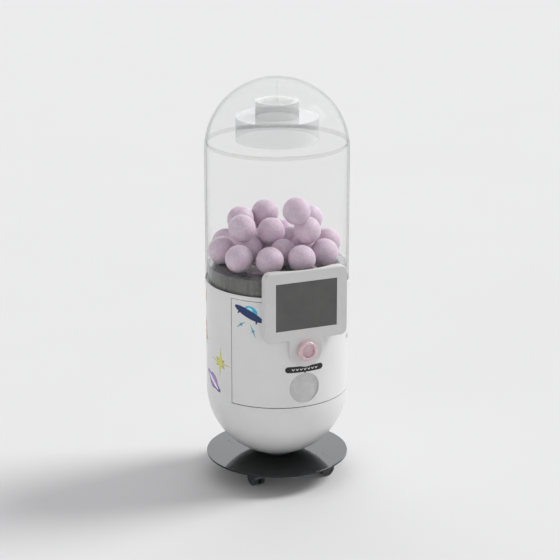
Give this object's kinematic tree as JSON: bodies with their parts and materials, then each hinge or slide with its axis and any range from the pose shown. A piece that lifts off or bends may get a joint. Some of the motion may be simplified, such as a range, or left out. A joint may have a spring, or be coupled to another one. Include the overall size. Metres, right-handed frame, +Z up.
{
  "type": "capsule toy vendor",
  "caption": "Pill-shaped capsule vending machine with a clear domed tube of capsules, a curved front door with screen, push button and prize flap, on a castered round base.",
  "frame": {"origin": "on the floor, on the vertical axis of the round body, under the centre of the base disc", "axes": "+Z up, -Y towards the customer (screen, button and prize flap), +X to the right seen from the front-facing machine's plan"},
  "size_m": [0.5359, 0.585, 1.521],
  "materials": {
    "white_shell": "moulded, polished gloss white ABS",
    "clear_acrylic": "clear cast acrylic",
    "lamp_acrylic": "light grey clear acrylic",
    "black_gloss": "black mirror-gloss acrylic-faced disc",
    "drum_dark": "dark grey gloss acrylic",
    "lilac_capsule": "matt lilac polypropylene",
    "pink_button": "satin pink ABS",
    "flap_grey": "satin light grey ABS",
    "screen_dark": "dark display glass",
    "label_black": "black printed plate",
    "zinc_steel": "zinc-plated steel",
    "painted_steel": "grey powder-coated steel",
    "cast_weight": "cast iron",
    "black_plastic": "black moulded nylon",
    "tyre_grey": "dark polyurethane tread",
    "brass_lock": "chromed zinc",
    "inner_plastic": "natural white moulded plastic",
    "gear_nylon": "natural acetal",
    "board_green": "glass-epoxy circuit board",
    "seal_grey": "clear silicone",
    "led_white": "white LED board"
  },
  "bodies": {
    "root": {"base_disc": "black_gloss", "mount_boss": "painted_steel", "ballast_weight": "cast_weight", "caster_plates": "zinc_steel", "frame_fasteners": "zinc_steel", "body_shell": "white_shell", "equipment_shelf": "painted_steel", "cable_gland": "black_plastic", "top_collar": "white_shell", "clear_tube": "clear_acrylic", "hopper_ring": "drum_dark", "hopper_floor": "drum_dark", "wheel_floor": "painted_steel", "floor_posts": "zinc_steel", "bearing_housing": "painted_steel", "shaft_bearings": "zinc_steel", "motor_bracket": "zinc_steel", "gearmotor": "painted_steel", "chute": "inner_plastic", "prize_bin": "inner_plastic", "hinge_pins": "zinc_steel", "lock_keeper": "zinc_steel", "power_supply": "zinc_steel", "control_board": "board_green", "capsules": "lilac_capsule"},
    "dome": {"dome": "clear_acrylic", "dome_seal": "seal_grey", "lamp_lower_cup": "lamp_acrylic", "lamp_upper_cup": "lamp_acrylic", "led_board": "led_white", "lamp_rod": "clear_acrylic"},
    "wheel": {"dispensing_wheel": "inner_plastic", "wheel_shaft": "zinc_steel", "wheel_gear": "gear_nylon", "pocket_capsules": "lilac_capsule"},
    "pinion": {"motor_pinion": "zinc_steel"},
    "door": {"door_shell": "white_shell", "door_rails": "painted_steel", "lock_barrel": "brass_lock", "door_nuts": "zinc_steel", "flap_brackets": "inner_plastic", "flap_spring": "zinc_steel", "label_plate": "label_black", "screen_housing": "white_shell", "screen_back_cover": "white_shell", "screen_glass": "screen_dark", "lcd_module": "black_plastic", "button_bezel": "pink_button", "button_switch": "black_plastic"},
    "flap": {"prize_flap": "flap_grey"},
    "button": {"button_plunger": "pink_button"},
    "lock": {"lock_core": "brass_lock"},
    "caster_front_left": {"caster_hood_front_left": "black_plastic"},
    "wheels_front_left": {"caster_wheels_front_left": "tyre_grey"},
    "caster_front_right": {"caster_hood_front_right": "black_plastic"},
    "wheels_front_right": {"caster_wheels_front_right": "tyre_grey"},
    "caster_rear_left": {"caster_hood_rear_left": "black_plastic"},
    "wheels_rear_left": {"caster_wheels_rear_left": "tyre_grey"},
    "caster_rear_right": {"caster_hood_rear_right": "black_plastic"},
    "wheels_rear_right": {"caster_wheels_rear_right": "tyre_grey"}
  },
  "joints": [
    {"name": "dome_lift", "type": "slide", "parent": "root", "child": "dome", "axis": [0, 0, 1], "range_m": [0, 0.25]},
    {"name": "wheel_spin", "type": "hinge", "parent": "root", "child": "wheel", "pos_m": [0, 0, 0.7165], "axis": [0, 0, 1], "continuous": true},
    {"name": "pinion_spin", "type": "hinge", "parent": "root", "child": "pinion", "pos_m": [0, 0.0726, 0.653], "axis": [0, 0, 1], "continuous": true},
    {"name": "door_swing", "type": "hinge", "parent": "root", "child": "door", "pos_m": [-0.21893, -0.13518, 0.35], "axis": [0, 0, -1], "range_deg": [0, 100]},
    {"name": "flap_swing", "type": "hinge", "parent": "door", "child": "flap", "pos_m": [0, -0.2535, 0.491], "axis": [1, 0, 0], "range_deg": [0, 62], "stiffness_Nm_per_rad": 0.012, "springref_deg": -28.65},
    {"name": "button_press", "type": "slide", "parent": "door", "child": "button", "axis": [0, 1, 0], "range_m": [0, 0.004], "stiffness_N_per_m": 600, "springref_m": -0.003},
    {"name": "lock_turn", "type": "hinge", "parent": "door", "child": "lock", "pos_m": [0.19332, -0.13536, 0.56], "axis": [0.8192, -0.5736, 0], "range_deg": [0, 90]},
    {"name": "swivel_front_left", "type": "hinge", "parent": "root", "child": "caster_front_left", "pos_m": [-0.12799, -0.12799, 0.06], "axis": [0, 0, 1], "continuous": true},
    {"name": "roll_front_left", "type": "hinge", "parent": "caster_front_left", "child": "wheels_front_left", "pos_m": [-0.13049, -0.11016, 0.03], "axis": [0.9903, 0.1392, 0], "continuous": true},
    {"name": "swivel_front_right", "type": "hinge", "parent": "root", "child": "caster_front_right", "pos_m": [0.12799, -0.12799, 0.06], "axis": [0, 0, 1], "continuous": true},
    {"name": "roll_front_right", "type": "hinge", "parent": "caster_front_right", "child": "wheels_front_right", "pos_m": [0.14511, -0.12242, 0.03], "axis": [0.309, -0.9511, 0], "continuous": true},
    {"name": "swivel_rear_left", "type": "hinge", "parent": "root", "child": "caster_rear_left", "pos_m": [-0.12799, 0.12799, 0.06], "axis": [0, 0, 1], "continuous": true},
    {"name": "roll_rear_left", "type": "hinge", "parent": "caster_rear_left", "child": "wheels_rear_left", "pos_m": [-0.13956, 0.14178, 0.03], "axis": [0.766, 0.6428, 0], "continuous": true},
    {"name": "swivel_rear_right", "type": "hinge", "parent": "root", "child": "caster_rear_right", "pos_m": [0.12799, 0.12799, 0.06], "axis": [0, 0, 1], "continuous": true},
    {"name": "roll_rear_right", "type": "hinge", "parent": "caster_rear_right", "child": "wheels_rear_right", "pos_m": [0.13644, 0.14388, 0.03], "axis": [0.8829, -0.4695, 0], "continuous": true}
  ],
  "couplings": [
    {"joint": "pinion_spin", "follows": "wheel_spin", "ratio": -2.2222}
  ]
}
